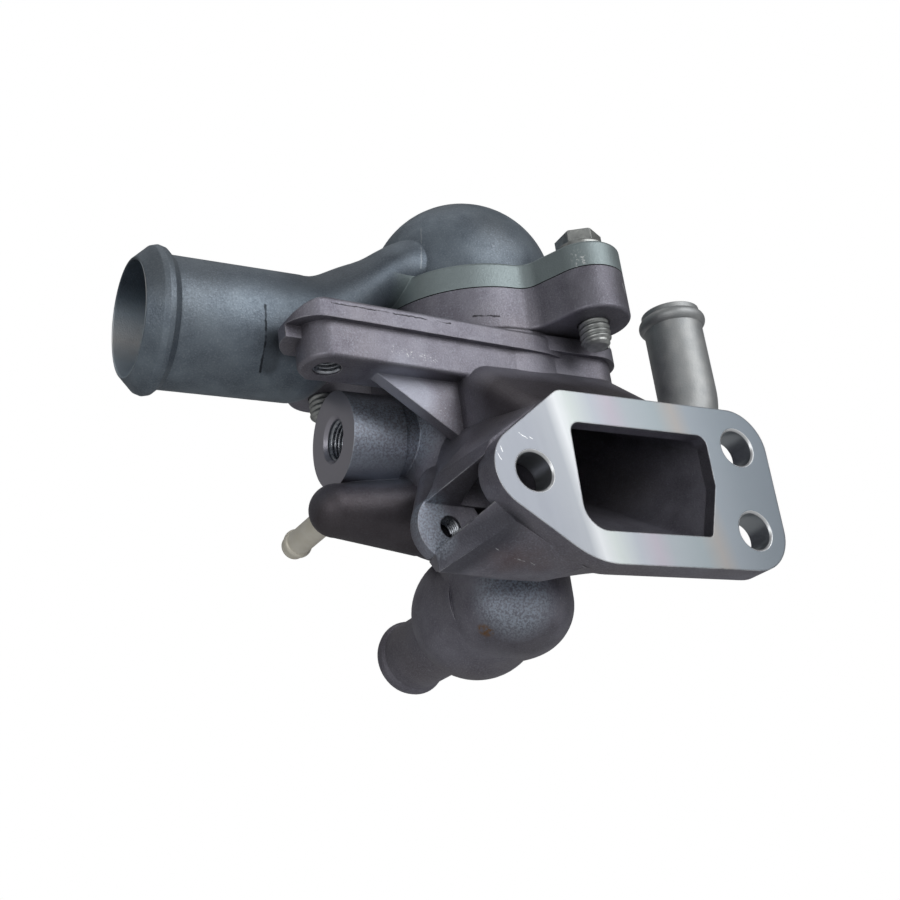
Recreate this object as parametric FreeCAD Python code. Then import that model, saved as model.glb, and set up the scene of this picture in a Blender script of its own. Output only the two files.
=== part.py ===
import FreeCAD, Part
import math
import os

# Engine coolant housing with its regulator insert, in millimetres.
# The origin is the middle of the inlet port, on the machined face of the inlet flange.
# X runs along the flange, away from the hose spigot. Y runs from the flange into the housing.
# Z runs up along the axis of the regulator insert.

V = FreeCAD.Vector
UP = V(0, 0, 1)
RIGHT = V(1, 0, 0)
BACK = V(0, 1, 0)

# Inlet flange
flange_thickness = 7.0
flange_half_height = 20.3
flange_right = 37.6
flange_corner_radius = 10.2
flange_nose_radius = 9.9
flange_nose_tip = -47.3
flange_top_left = -21.3
flange_bottom_left = -17.9
flange_top_left_radius = 4.0
flange_bottom_left_radius = 20.0
flange_hole_radius = 4.5
flange_hole_chamfer = 0.45
bolt_room_radius = 7.8
bolt_room_depth = 12.5
left_hole_x = -30.5
right_hole_x = 28.6
right_hole_spacing = 21.0

# Inlet port in the flange
port_half_width = 19.3
port_half_height = 12.7
port_corner_radius = 2.6
port_low_left_radius = 6.0
port_right_slant = 4.0

# Regulator axis, joint between body and cover, and column
axis_x = -7.5
axis_y = 54.0
joint_z = 62.8
column_radius = 27.6
body_flange_thickness = 11.9
column_foot_z = 4.0
column_foot_radius = 11.0
chamber_radius = 22.3
chamber_floor_z = 13.4
counterbore_radius = 24.3
counterbore_depth = 3.2

# Ears and cover bolts: each ear by its angle about the axis and its distance from it
ear_radius = 9.7
front_ear_angle = -65.6
front_ear_distance = 38.1
left_ear_angle = 147.1
left_ear_distance = 40.7
right_ear_angle = 41.0
right_ear_distance = 38.5
ear_web_half_width = 9.2
ear_fillet = 5.0
ear_edge_radius = 0.8
bolt_radius = 4.0
bolt_head_flats = 9.4
bolt_head_height = 6.1
bolt_flange_radius = 6.5
bolt_flange_rim = 1.4
bolt_flange_height = 3.0
bolt_flange_top_radius = 4.2
bolt_head_turn = 28.0
bolt_head_chamfer = 1.0
bolt_length = 25.6
bolt_end_chamfer = 0.8
bolt_thread_clearance = 0.05
cover_hole_clearance = 0.5
spot_face_radius = 7.8
spot_face_room = 14.0

# Inlet duct between flange and column
duct_wall = 4.6
duct_left = -28.0
duct_right = 21.2
duct_top = 40.2
duct_bottom = -12.4
duct_end_bottom = -5.0
duct_shoulder_y = 27.6
duct_corner_radius = 7.0
duct_end_y = 46.0
passage_low = 15.0
passage_high = 36.0
passage_narrowing = 4.0

# Bracket arm along the front, its lip and its rib
arm_end_x = -61.8
arm_y = 31.2
arm_end_radius = 6.9
arm_bottom_z = 35.5
arm_lip_bottom_z = 44.7
arm_lip_top_z = 50.1
arm_lip_overhang = 1.5
arm_lip_reach = 2.3
arm_lip_round = 1.2
arm_lip_fall_radius = 14.0
arm_edge_radius = 1.0
arm_rim_bottom_z = 41.6
arm_rim_set_back = 2.0
arm_back_y = 38.0
arm_hole_radius = 3.4
arm_hole_depth = 9.0
rib_front_y = 30.0
rib_thickness = 3.4
rib_tip_x = -51.0
rib_foot_z = 20.5

# Sensor boss on the left of the column
boss_radius = 12.3
boss_collar_length = 14.4
boss_root_radius = 11.5
boss_face_x = -50.9
boss_z = 28.5
boss_hole_radius = 5.2
boss_hole_chamfer = 0.9

# Small return boss below the sensor boss, with its pipe
return_z = 9.8
return_end_x = -52.0
return_end_radius = 6.6
return_root_radius = 10.0
return_root_x = -30.0
return_pipe_radius = 3.25
return_pipe_bore = 2.35
return_pipe_length = 24.0
return_pipe_bead = 0.6
return_drill_radius = 2.4

# Lug with a hole, behind the flange nose, and the skirt that carries it
lug_x = -41.1
lug_z = -6.1
lug_front_y = 20.0
lug_back_y = 23.6
lug_root_y = 38.0
lug_radius = 8.2
lug_root_radius = 8.0
lug_hole_radius = 2.6
lug_hole_depth = 6.0
web_set_in = 2.0
web_inner_x = -16.0
skirt_inner_x = -6.0

# Bypass bulb at the foot of the column: an upright front lobe and a round back lobe
bulb_front_x = -6.8
bulb_front_radius = 16.4
bulb_bottom_z = -26.2
bulb_foot_radius = 13.0
bulb_roof_z = 3.6
bulb_wall = 3.4
bulb_back_x = -9.0
bulb_back_y = 66.0
bulb_back_z = -11.4
bulb_back_radius = 16.9

# Hose outlet from the bulb to the back
outlet_x = -10.8
outlet_z = -13.8
outlet_radius = 9.3
outlet_bore = 7.2
outlet_end_y = 104.0
outlet_bead_height = 1.0
outlet_bead_width = 4.0
outlet_nose_length = 2.6
bypass_seat_radius = 9.5

# Hose cover: dome, neck and spigot
cover_flange_thickness = 7.2
dome_radius = 25.3
dome_rise = 12.8
cover_wall = 3.4
neck_clearance = 0.6
spigot_z = 55.3
spigot_radius = 16.2
spigot_bore = 13.9
spigot_mouth_x = -100.9
spigot_start_x = -60.0
spigot_bead_height = 1.9
spigot_bead_width = 4.6
spigot_nose_length = 3.4

# Heater pipe, which leaves the right of the column
heater_x = 44.3
heater_y = 30.0
heater_z = 20.0
heater_bend_radius = 20.0
heater_radius = 7.95
heater_wall = 1.2
heater_top_z = 64.7
heater_bead_height = 1.2
heater_bead_round = 2.0
heater_bead_drop = 3.2
heater_boss_radius = 11.2
heater_boss_reach = 36.0
heater_insertion = 6.0
pipe_fit = 0.05

# Regulator insert
seal_outer_radius = 24.1
seal_inner_radius = 20.6
seal_gap = 0.05
plate_radius = 22.8
plate_thickness = 1.2
plate_drop = 1.0
valve_seat_radius = 14.5
seat_collar_height = 3.5
valve_radius = 15.6
valve_thickness = 1.2
valve_gap = 0.05
valve_travel = 9.0
strap_thickness = 1.4
strap_width = 7.0
bridge_foot_radius = 18.6
bridge_height = 15.0
bridge_cup_radius = 4.2
bridge_cup_height = 4.5
pin_radius = 2.2
pin_depth = 4.0
sliding_clearance = 0.05
capsule_neck_radius = 4.6
capsule_neck_height = 8.0
capsule_shoulder_radius = 9.4
capsule_shoulder_height = 5.0
capsule_radius = 7.6
capsule_bottom = 30.0
stem_radius = 2.0
stem_end = 42.6
lock_ring_radius = 7.2
lock_ring_thickness = 1.0
stirrup_drop = 26.0
stirrup_leg_radius = 19.2
stirrup_ring_radius = 14.4
main_spring_radius = 12.0
main_spring_wire_radius = 0.9
main_spring_turns = 4.5
bypass_disc_radius = 11.5
bypass_disc_thickness = 1.4
bypass_seat_gap = 0.1
bypass_spring_radius = 5.0
bypass_spring_wire_radius = 0.6
bypass_spring_turns = 4.0
spring_gap = 0.05
coil_steps = 14
coil_sides = 6
clip_radius = 3.6
clip_thickness = 1.0
jiggle_radius = 1.0
jiggle_head_radius = 2.2
jiggle_place_radius = 18.2
jiggle_angle = -45.0
jiggle_lift = 0.8

# How far a cutter runs past the face that it opens
cut_past = 1.0

# Places that follow from the sizes above
ear_places = (
    (front_ear_angle, front_ear_distance),
    (left_ear_angle, left_ear_distance),
    (right_ear_angle, right_ear_distance),
)
dome_centre_z = joint_z + dome_rise
heater_bead_z = heater_top_z - heater_bead_drop
plate_top = joint_z - plate_drop
plate_bottom = plate_top - plate_thickness
valve_top = plate_bottom - valve_gap
valve_bottom = valve_top - valve_thickness
stirrup_top = joint_z - stirrup_drop
capsule_foot_z = joint_z - capsule_bottom
disc_bottom = chamber_floor_z + bypass_seat_gap + valve_travel
disc_top = disc_bottom + bypass_disc_thickness
cover_top = joint_z + cover_flange_thickness
ear_bottom = joint_z - body_flange_thickness


def on_axis(z):
    """Point on the regulator axis at a height."""
    return V(axis_x, axis_y, z)


def ear_centre(place, z):
    """Centre of an ear, from its angle and distance, at a height."""
    angle, distance = place
    turn = math.radians(angle)
    return V(axis_x + distance * math.cos(turn), axis_y + distance * math.sin(turn), z)


def disc(radius, bottom, top):
    """Solid round slab about the regulator axis."""
    return Part.makeCylinder(radius, top - bottom, on_axis(bottom), UP)


def ring(outer, inner, bottom, top):
    """Flat ring about the regulator axis."""
    return disc(outer, bottom, top).cut(disc(inner, bottom, top))


def fused(shapes):
    """One solid out of forms that overlap, joined one after the other."""
    whole = shapes[0]
    for shape in shapes[1:]:
        whole = whole.fuse(shape)
    return whole


def drilled(radius, depth, mouth, heading):
    """Cutter for a round hole from its mouth down to its depth."""
    return Part.makeCylinder(radius, depth + cut_past, mouth - heading * cut_past, heading)


def only_solid(shape):
    """The single solid that a shape holds."""
    return max(shape.Solids, key=lambda solid: solid.Volume)


def outline(corners, place):
    """Closed wire through corners (u, v, radius), each corner rounded by an arc."""
    edges = []
    ends = []
    count = len(corners)
    for index in range(count):
        u, v, radius = corners[index]
        before = corners[index - 1]
        after = corners[(index + 1) % count]
        corner = V(u, v, 0)
        to_before = (V(before[0], before[1], 0) - corner).normalize()
        to_after = (V(after[0], after[1], 0) - corner).normalize()
        half = to_before.getAngle(to_after) / 2
        setback = radius / math.tan(half)
        start = corner + to_before * setback
        finish = corner + to_after * setback
        centre = corner + (to_before + to_after).normalize() * (radius / math.sin(half))
        middle = centre + (corner - centre).normalize() * radius
        ends.append((start, middle, finish))
    for index in range(count):
        start, middle, finish = ends[index]
        following = ends[(index + 1) % count][0]
        points = [place(p.x, p.y) for p in (start, middle, finish, following)]
        edges.append(Part.Arc(points[0], points[1], points[2]).toShape())
        if (points[3] - points[2]).Length > 1e-6:
            edges.append(Part.makeLine(points[2], points[3]))
    return Part.Wire(edges)


def facing_inlet(y):
    """Place an outline in an upright plane, parallel to the flange face."""
    return lambda u, v: V(u, y, v)


def belt(first, first_radius, second, second_radius, bottom, top):
    """Slab whose plan is two circles joined by their outer tangents."""
    span = V(second.x - first.x, second.y - first.y, 0)
    heading = math.atan2(span.y, span.x)
    spread = math.acos((first_radius - second_radius) / span.Length)

    def point(centre, radius, angle):
        return V(centre.x + radius * math.cos(angle), centre.y + radius * math.sin(angle), bottom)

    left_start = point(first, first_radius, heading + spread)
    left_end = point(second, second_radius, heading + spread)
    right_end = point(second, second_radius, heading - spread)
    right_start = point(first, first_radius, heading - spread)
    far = point(second, second_radius, heading)
    near = point(first, first_radius, heading + math.pi)
    wire = Part.Wire([
        Part.makeLine(left_start, left_end),
        Part.Arc(left_end, far, right_end).toShape(),
        Part.makeLine(right_end, right_start),
        Part.Arc(right_start, near, left_start).toShape(),
    ])
    return Part.Face(wire).extrude(UP * (top - bottom))


def rounded_at(solid, height, radius):
    """Solid with every edge that lies at a height rounded."""
    edges = []
    for edge in solid.Edges:
        if abs(edge.BoundBox.ZMin - height) < 0.01 and edge.BoundBox.ZLength < 0.01:
            edges.append(edge)
    return solid.makeFillet(radius, edges)


def revolved(profile, centre, axis):
    """Solid turned from a closed profile of points about an axis."""
    wire = Part.makePolygon(profile + [profile[0]])
    return Part.Face(wire).revolve(centre, axis, 360)


def turned(profile):
    """Solid turned about the regulator axis from (radius, height) points."""
    points = [V(axis_x + radius, axis_y, height) for radius, height in profile]
    return revolved(points, on_axis(0), UP)


def eared_flange(bottom, top, grow=0.0):
    """Round flange with an ear for each cover bolt, the ears blended in at their roots."""
    flange = disc(column_radius + grow, bottom, top)
    for place in ear_places:
        ear = ear_centre(place, bottom)
        arm = belt(on_axis(bottom), ear_web_half_width + grow, ear, ear_radius + grow, bottom, top)
        flange = flange.fuse(arm)
    roots = []
    for edge in flange.Edges:
        middle = edge.CenterOfMass
        reach = V(middle.x - axis_x, middle.y - axis_y, 0).Length
        upright = abs(edge.BoundBox.ZLength - (top - bottom)) < 0.01
        if upright and edge.BoundBox.XLength < 0.01 and abs(reach - column_radius - grow) < 0.01:
            roots.append(edge)
    return flange.makeFillet(ear_fillet - grow, roots)


# Inlet flange

def flange_outline(y):
    """Outer edge of the inlet flange: a nose about the left hole and a squarer right end."""
    corners = (
        (flange_nose_tip, 0, flange_nose_radius),
        (flange_top_left, flange_half_height, flange_top_left_radius),
        (flange_right, flange_half_height, flange_corner_radius),
        (flange_right, -flange_half_height, flange_corner_radius),
        (flange_bottom_left, -flange_half_height, flange_bottom_left_radius),
    )
    return outline(corners, facing_inlet(y))


def port_outline(y):
    """Edge of the inlet port, whose right side slants in below the middle."""
    corners = (
        (-port_half_width, port_half_height, port_corner_radius),
        (port_half_width, port_half_height, port_corner_radius),
        (port_half_width, 0, port_corner_radius),
        (port_half_width - port_right_slant, -port_half_height, port_corner_radius / 2),
        (-port_half_width, -port_half_height, port_low_left_radius),
    )
    return outline(corners, facing_inlet(y))


def inlet_flange():
    return Part.Face(flange_outline(0)).extrude(BACK * flange_thickness)


def flange_holes():
    """Three bolt holes through the flange, chamfered in front, with room for the bolt heads behind."""
    places = [(left_hole_x, 0)]
    for side in (1, -1):
        places.append((right_hole_x, side * right_hole_spacing / 2))
    cutters = []
    for x, z in places:
        cutters.append(drilled(flange_hole_radius, flange_thickness + cut_past, V(x, 0, z), BACK))
        mouth = flange_hole_radius + flange_hole_chamfer
        cutters.append(Part.makeCone(mouth, flange_hole_radius, flange_hole_chamfer, V(x, 0, z), BACK))
        cutters.append(Part.makeCylinder(bolt_room_radius, bolt_room_depth, V(x, flange_thickness, z), BACK))
    return cutters


# Inlet duct

def duct_section(left, right, bottom, top, radius, y):
    """Rounded rectangle across the duct."""
    corners = ((left, top, radius), (right, top, radius), (right, bottom, radius), (left, bottom, radius))
    return outline(corners, facing_inlet(y))


def duct_outside():
    """Walls that widen upwards from the flange to the column, and the shoulder under the ear."""
    half = port_half_width + duct_wall
    low = -port_half_height - duct_wall
    sections = [
        duct_section(-half, half, low, port_half_height + duct_wall, 5.0, flange_thickness / 2),
        duct_section(duct_left, duct_right, duct_bottom, duct_top, duct_corner_radius, duct_shoulder_y),
    ]
    mouth = Part.makeLoft(sections, True, True)
    rear = Part.makeLoft([
        duct_section(duct_left, duct_right, duct_bottom, duct_top, duct_corner_radius, duct_shoulder_y),
        duct_section(duct_left, duct_right, duct_end_bottom, duct_top, duct_corner_radius, duct_end_y),
    ], True, True)
    return [mouth, rear]


def duct_passage():
    """Water passage that rises from the port to the chamber."""
    inner_end = axis_y - chamber_radius / 2
    half = port_half_width - passage_narrowing
    middle = (passage_low + passage_high) / 2
    far_corners = (
        (axis_x - half, passage_high, port_corner_radius),
        (axis_x + half, passage_high, port_corner_radius),
        (axis_x + half, middle, port_corner_radius),
        (axis_x + half - port_right_slant, passage_low, port_corner_radius / 2),
        (axis_x - half, passage_low, port_low_left_radius),
    )
    near = port_outline(flange_thickness / 2)
    return Part.makeLoft([near, outline(far_corners, facing_inlet(inner_end))], True, True)


# Bracket arm

def plan_slab(end_x, end_radius, column, bottom, top):
    """Arm outline in plan: tangent from its round end to the column, straight at the back."""
    whole = belt(V(end_x, arm_y, 0), end_radius, on_axis(0), column, bottom, top)
    span = 2 * (axis_x - end_x)
    behind = Part.makeBox(2 * span, span, top - bottom, V(axis_x - span, arm_back_y, bottom))
    return whole.cut(behind)


def shoulder_slab(grow, bottom, top):
    """Squared shoulder of the column above the duct, on the right."""
    radius = duct_corner_radius + grow
    corner = V(duct_right - duct_corner_radius, duct_shoulder_y + duct_corner_radius, 0)
    return belt(corner, radius, V(axis_x - 6, corner.y, 0), radius, bottom, top)


def arm_rim():
    """Outer part of the lip's round end, which hangs lower than the rest of the lip."""
    radius = arm_end_radius + arm_lip_overhang
    end_x = arm_end_x - arm_lip_reach
    height = arm_lip_bottom_z - arm_rim_bottom_z
    whole = Part.makeCylinder(radius, height, V(end_x, arm_y, arm_rim_bottom_z), UP)
    front_y = arm_y - arm_rim_set_back
    corner = V(end_x - radius, front_y, arm_rim_bottom_z)
    return whole.common(Part.makeBox(2 * radius, arm_back_y - front_y, height, corner))


def lip_fall():
    """What the lip loses where its top curves down at the round end."""
    radius = arm_lip_fall_radius
    reach = arm_lip_reach + arm_end_radius + arm_lip_overhang + cut_past
    centre_z = arm_lip_top_z - radius
    start = V(arm_end_x, arm_y - reach, centre_z)
    corner = Part.makeBox(reach, 2 * reach, radius + cut_past, start - RIGHT * reach)
    return corner.cut(Part.makeCylinder(radius, 2 * reach, start, BACK))


def bracket_arm():
    lower_column = column_radius - arm_lip_overhang + 0.9
    block = plan_slab(arm_end_x, arm_end_radius, lower_column, arm_bottom_z, arm_lip_bottom_z)
    lip = plan_slab(arm_end_x - arm_lip_reach, arm_end_radius + arm_lip_overhang,
                    lower_column + arm_lip_overhang, arm_lip_bottom_z, arm_lip_top_z)
    block = rounded_at(block, arm_bottom_z, arm_edge_radius)
    lip = rounded_at(lip, arm_lip_top_z, arm_lip_round).cut(lip_fall())
    shoulder = shoulder_slab(0, duct_top - 12, ear_bottom)
    shoulder_lip = shoulder_slab(arm_lip_overhang, arm_lip_bottom_z + 1.2, arm_lip_top_z)
    return [block, lip, arm_rim(), shoulder, shoulder_lip]


def arm_rib():
    """Triangular rib under the arm."""
    points = [
        V(rib_tip_x, rib_front_y, arm_bottom_z + 1),
        V(duct_left + 3, rib_front_y, arm_bottom_z + 1),
        V(duct_left + 3, rib_front_y, rib_foot_z),
        V(duct_left - 0.5, rib_front_y, rib_foot_z),
    ]
    face = Part.Face(Part.makePolygon(points + [points[0]]))
    return face.extrude(BACK * rib_thickness)


# Lug and skirt

def lug():
    """Round lug whose root leans up and in to the column."""
    head = Part.makeCylinder(lug_radius, lug_back_y - lug_front_y, V(lug_x, lug_front_y, lug_z), BACK)
    near = Part.Circle(V(lug_x, lug_back_y, lug_z), BACK, lug_radius)
    far = Part.Circle(V(lug_x + 11, lug_root_y, lug_z + 15), BACK, lug_root_radius)
    root = Part.makeLoft([Part.Wire([near.toShape()]), Part.Wire([far.toShape()])], True, True)
    return [head, root]


def web(sections):
    """Solid web through upright sections, each (y, corner points (x, z))."""
    wires = []
    for y, corners in sections:
        points = [V(x, y, z) for x, z in corners]
        wires.append(Part.makePolygon(points + [points[0]]))
    return Part.makeLoft(wires, True, True)


def skirt():
    """Web from the lower left edge of the flange back to the lug, below the core pocket."""
    low = web_set_in / 3 - flange_half_height
    at_flange = (
        (left_hole_x - 8.1, -5.6),
        (left_hole_x - 3.5, -9.8),
        (flange_bottom_left, low),
        (skirt_inner_x, low),
        (skirt_inner_x, duct_bottom + 4.4),
        (left_hole_x - 2.5, -7.0),
    )
    at_lug = (
        (lug_x - 4.8, lug_z - 5.9),
        (lug_x - 4.5, lug_z - 10.6),
        (duct_left + 8.0, duct_bottom - 5.6),
        (axis_x - 2.5, duct_bottom - 3.6),
        (skirt_inner_x, duct_bottom + 4.4),
        (lug_x + 4.1, lug_z - 5.4),
    )
    at_root = (
        (lug_x + 1.5, lug_z - 3.3),
        (lug_x + 2.9, lug_z - 5.5),
        (duct_left + 6.0, duct_bottom - 0.6),
        (axis_x - 2.5, duct_bottom - 0.2),
        (skirt_inner_x, duct_bottom + 5.4),
        (lug_x + 7.1, lug_z - 1.9),
    )
    return web((
        (flange_thickness - web_set_in, at_flange),
        (lug_front_y, at_lug),
        (lug_root_y - 2 * web_set_in, at_root),
    ))


def nose_web():
    """Web from the flange nose to the column and the top of the lug, above the core pocket."""
    duct_roof = port_half_height + duct_wall
    at_flange = (
        (left_hole_x - 9.1, 5.0),
        (left_hole_x - 6.7, 9.0),
        (flange_top_left - 2.7, duct_roof + 1.3),
        (web_inner_x, duct_roof + 1.3),
        (web_inner_x, 3.0),
    )
    at_lug = (
        (lug_x - 5.9, lug_z + 5.3),
        (lug_x - 1.4, lug_z + 12.6),
        (duct_left, duct_roof + 3.7),
        (web_inner_x, duct_roof + 3.7),
        (web_inner_x, lug_z + 4.1),
    )
    at_root = (
        (lug_x + 4.1, lug_z + 8.1),
        (lug_x + 6.1, lug_z + 16.1),
        (duct_left - 1.0, duct_roof + 6.7),
        (web_inner_x, duct_roof + 6.7),
        (web_inner_x, lug_z + 6.1),
    )
    return web((
        (flange_thickness - web_set_in, at_flange),
        (lug_front_y, at_lug),
        (lug_root_y, at_root),
    ))


# Column, bosses and bulb

def column():
    """Round column, with its foot rounded in towards the bulb."""
    barrel = disc(column_radius, column_foot_z, ear_bottom)
    foot_edges = []
    for edge in barrel.Edges:
        if abs(edge.CenterOfMass.z - column_foot_z) < 0.01:
            foot_edges.append(edge)
    return barrel.makeFillet(column_foot_radius, foot_edges)


def sensor_boss():
    """Round collar on a slightly narrower root."""
    face = V(boss_face_x, axis_y, boss_z)
    collar = Part.makeCylinder(boss_radius, boss_collar_length, face, RIGHT)
    root = Part.makeCylinder(boss_root_radius, axis_x - boss_face_x, face, RIGHT)
    return collar.fuse(root)


def return_boss():
    """Tapered boss with a round end."""
    length = return_root_x - return_end_x
    taper = Part.makeCone(return_end_radius, return_root_radius, length,
                          V(return_end_x, axis_y, return_z), RIGHT)
    root = Part.makeCylinder(return_root_radius, 16, V(return_root_x, axis_y, return_z), RIGHT)
    end = Part.makeSphere(return_end_radius, V(return_end_x, axis_y, return_z))
    return [taper, root, end]


def bead_profile(radius, mouth, heading, nose, width, height, inner):
    """Hose bead near a mouth: (distance, radius) points from the axis out, back to the axis."""
    crest = radius + height
    steps = ((0, 0), (0, inner + 0.6), (nose, crest - 0.4), (nose + 1.3, crest), (nose + 2.6, crest - 0.3),
             (nose + width, radius - 0.2), (nose + width, 0))
    return [(mouth + heading * along, out) for along, out in steps]


def front_lobe(wall, top):
    """Upright lobe of the bulb with a rounded foot, or with a wall given, the space inside it."""
    bottom = bulb_bottom_z + wall
    lobe = Part.makeCylinder(bulb_front_radius - wall, top - bottom, V(bulb_front_x, axis_y, bottom), UP)
    return rounded_at(lobe, bottom, bulb_foot_radius - wall)


def back_lobe(wall):
    """Round lobe at the back of the bulb and its link to the front lobe."""
    radius = bulb_back_radius - wall
    front_radius = bulb_back_z - bulb_bottom_z - wall
    ball = Part.makeSphere(radius, V(bulb_back_x, bulb_back_y, bulb_back_z))
    link_start = V(bulb_back_x, axis_y, bulb_back_z)
    link = Part.makeCone(front_radius, radius, bulb_back_y - axis_y, link_start, BACK)
    return [link, ball]


def bulb():
    """Bulb at the column's foot, with the hose outlet that leaves it to the back."""
    lobe = front_lobe(0, column_foot_z + column_foot_radius)
    outlet = V(outlet_x, bulb_back_y, outlet_z)
    tube = Part.makeCylinder(outlet_radius, outlet_end_y - bulb_back_y - 2, outlet, BACK)
    points = [V(outlet_x, along, outlet_z + out) for along, out in
              bead_profile(outlet_radius, outlet_end_y, -1, outlet_nose_length, outlet_bead_width,
                           outlet_bead_height, outlet_bore)]
    bead = revolved(points, V(outlet_x, 0, outlet_z), BACK)
    return [lobe] + back_lobe(0) + [tube, bead]


def bulb_cavity():
    """Space in the bulb, its way up to the chamber and its way out to the back."""
    riser = disc(bypass_seat_radius, bulb_back_z, chamber_floor_z + cut_past)
    length = outlet_end_y - axis_y + cut_past
    way_out = Part.makeCylinder(outlet_bore, length, V(outlet_x, axis_y, outlet_z), BACK)
    return [front_lobe(bulb_wall, bulb_roof_z)] + back_lobe(bulb_wall) + [riser, way_out]


def heater_heading():
    """Level direction from the column out to the foot of the heater pipe."""
    return V(heater_x - axis_x, heater_y - axis_y, 0).normalize()


def heater_boss():
    """Round boss on the column that takes the heater pipe."""
    return Part.makeCylinder(heater_boss_radius, heater_boss_reach, on_axis(heater_z), heater_heading())


def heater_socket():
    """Seat for the pipe in the boss, and the narrower bore behind it."""
    heading = heater_heading()
    foot = on_axis(heater_z)
    mouth = foot + heading * heater_boss_reach
    seat = drilled(heater_radius + pipe_fit, heater_insertion, mouth, heading * -1)
    bore = Part.makeCylinder(heater_radius - heater_wall, heater_boss_reach, foot, heading)
    return [seat, bore]


def housing_body():
    forms = [inlet_flange(), column(), skirt(), nose_web(), sensor_boss(), heater_boss(), arm_rib()]
    forms += duct_outside() + bracket_arm()
    forms += [rounded_at(eared_flange(ear_bottom, joint_z), ear_bottom, ear_edge_radius)]
    forms += return_boss() + bulb() + lug()
    body = fused(forms)

    boss_face = V(boss_face_x, axis_y, boss_z)
    return_end = V(return_end_x, axis_y, return_z)
    cutters = flange_holes() + bulb_cavity() + heater_socket() + [
        Part.Face(port_outline(-cut_past)).extrude(BACK * (flange_thickness / 2 + cut_past)),
        duct_passage(),
        disc(chamber_radius, chamber_floor_z, joint_z + cut_past),
        disc(counterbore_radius, joint_z - counterbore_depth, joint_z + cut_past),
        drilled(boss_hole_radius, axis_x - boss_face_x, boss_face, RIGHT),
        Part.makeCone(boss_hole_radius + boss_hole_chamfer, boss_hole_radius, boss_hole_chamfer,
                      boss_face, RIGHT),
        drilled(arm_hole_radius, arm_hole_depth, V(arm_end_x, arm_y, arm_bottom_z), UP),
        drilled(lug_hole_radius, lug_hole_depth, V(lug_x, lug_front_y, lug_z), BACK),
        Part.makeCylinder(return_drill_radius, axis_x - return_end_x, return_end, RIGHT),
        Part.makeCylinder(return_pipe_radius + pipe_fit, return_end_radius + cut_past, return_end, BACK),
    ]
    for place in ear_places:
        mouth = ear_centre(place, ear_bottom)
        hole_radius = bolt_radius + bolt_thread_clearance
        cutters.append(drilled(hole_radius, body_flange_thickness + cut_past, mouth, UP))
    return only_solid(body.cut(cutters))


# Hose cover

def ellipse_wire(x, centre_z, half_height, half_width):
    """Upright oval across the neck."""
    big, small = max(half_height, half_width), min(half_height, half_width)
    centre = V(x, axis_y, centre_z)
    if half_height >= half_width:
        curve = Part.Ellipse(centre + UP * big, centre + BACK * small, centre)
    else:
        curve = Part.Ellipse(centre + BACK * big, centre + UP * small, centre)
    return Part.Wire([curve.toShape()])


# Sections of the neck from the dome to the spigot: share of the way out, share of the drop
# that is left, and half height and half width as shares of the spigot's radius
neck_sections = (
    (0.152, 1.069, 0.864, 1.049),
    (0.324, 1.000, 0.778, 1.025),
    (0.495, 0.887, 0.654, 0.951),
    (0.648, 0.586, 0.704, 0.914),
    (0.800, 0.251, 0.889, 0.951),
    (0.924, 0.034, 0.969, 0.994),
    (1.000, 0.000, 1.000, 1.001),
)


def neck(shrink):
    """Neck that leaves the dome to the left and drops to the spigot."""
    run = axis_x - spigot_start_x
    drop = dome_centre_z - spigot_z
    wires = []
    for way, height, tall, wide in neck_sections:
        x = axis_x - run * way
        z = spigot_z + drop * height
        wires.append(ellipse_wire(x, z, spigot_radius * tall - shrink, spigot_radius * wide - shrink))
    return Part.makeLoft(wires, True, False)


def spigot(neck_shape):
    """Hose spigot that carries the neck's round end on to a rounded bead and a tapered nose."""
    mouth = spigot_mouth_x
    neck_end = min(neck_shape.Faces, key=lambda face: face.CenterOfMass.x)
    barrel = neck_end.extrude(RIGHT * (mouth + 2 - spigot_start_x))
    points = [V(along, axis_y, spigot_z + out) for along, out in
              bead_profile(spigot_radius, mouth, 1, spigot_nose_length, spigot_bead_width,
                           spigot_bead_height, spigot_bore)]
    bead = revolved(points, V(mouth, axis_y, spigot_z), RIGHT)
    return [barrel, bead]


def cover_hollow():
    hollow = dome_radius - cover_wall
    dome = Part.makeSphere(hollow, on_axis(dome_centre_z))
    mouth = disc(hollow - 0.4, joint_z - cut_past, dome_centre_z)
    bore = Part.makeCylinder(spigot_bore, spigot_start_x - spigot_mouth_x + 4 * cut_past,
                             V(spigot_mouth_x - 2 * cut_past, axis_y, spigot_z), RIGHT)
    return [dome, mouth, neck(cover_wall - 0.6), bore]


def outlet_cover():
    dome = Part.makeSphere(dome_radius, on_axis(dome_centre_z))
    dome_foot = disc(dome_radius, joint_z, dome_centre_z)
    above = disc(dome_radius + cut_past, joint_z, dome_centre_z + dome_radius + cut_past)
    outside = neck(0)
    flange = rounded_at(eared_flange(joint_z, cover_top), cover_top, ear_edge_radius)
    cover = fused([flange, fused([dome, dome_foot]).common(above), outside])
    cover = fused([cover] + spigot(outside))

    cutters = cover_hollow()
    cutters.append(disc(column_radius + neck_clearance, 0, joint_z))
    cutters.append(eared_flange(ear_bottom - 2 * cut_past, joint_z, neck_clearance))
    for place in ear_places:
        hole_radius = bolt_radius + cover_hole_clearance
        mouth = ear_centre(place, joint_z)
        cutters.append(drilled(hole_radius, cover_flange_thickness + cut_past, mouth, UP))
        cutters.append(Part.makeCylinder(spot_face_radius, spot_face_room, ear_centre(place, cover_top), UP))
    return only_solid(cover.cut(cutters))


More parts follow.
